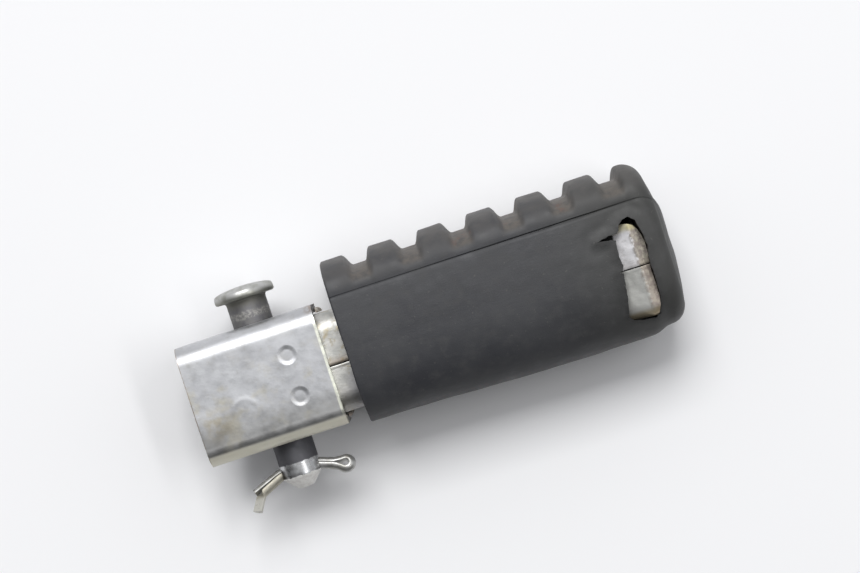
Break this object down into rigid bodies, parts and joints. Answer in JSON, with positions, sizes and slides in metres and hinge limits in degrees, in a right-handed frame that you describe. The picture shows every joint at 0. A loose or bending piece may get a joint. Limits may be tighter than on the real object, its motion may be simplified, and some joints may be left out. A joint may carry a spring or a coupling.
{
  "type": "foot peg",
  "caption": "Folding motorcycle foot peg: pressed steel hinge bracket and box tube in a ribbed black rubber sleeve, on a headed clevis pin held by a split pin.",
  "frame": {"origin": "middle of the peg's bounding box in X and Y, on the surface that the rubber sleeve's flat side lies on; the hinge pin's axis is the line along Y through x = -0.04170, z = 0.016", "axes": "+X outboard along the peg, +Y the tread side (up in use), +Z the side of the bracket's web"},
  "size_m": [0.1218, 0.0542, 0.032],
  "materials": {
    "zinc_plate": "zinc plated, dulled, faint stains",
    "tube_steel": "zinc plated, worn and stained",
    "black_rubber": "matt, dusty in the tread's valleys",
    "weld_metal": "rusty weld",
    "pin_steel": "worn plating, dark on the shank",
    "wire_steel": "zinc plated wire"
  },
  "bodies": {
    "peg": {"hinge_bracket": "zinc_plate", "core_tube": "tube_steel", "rubber_sleeve": "black_rubber", "weld_bead_upper": "weld_metal", "weld_bead_lower": "weld_metal"},
    "pin": {"clevis_pin": "pin_steel"},
    "split_pin": {"split_pin": "wire_steel"}
  },
  "joints": [
    {"name": "fold", "type": "hinge", "parent": "peg", "child": "pin", "pos_m": [-0.0417, 0.0025, 0.016], "axis": [0, -1, 0], "range_deg": [0, 90]},
    {"name": "split_pin_turn", "type": "hinge", "parent": "pin", "child": "split_pin", "pos_m": [-0.0417, -0.01985, 0.016], "axis": [1, 0, 0], "range_deg": [-90, 90]}
  ]
}
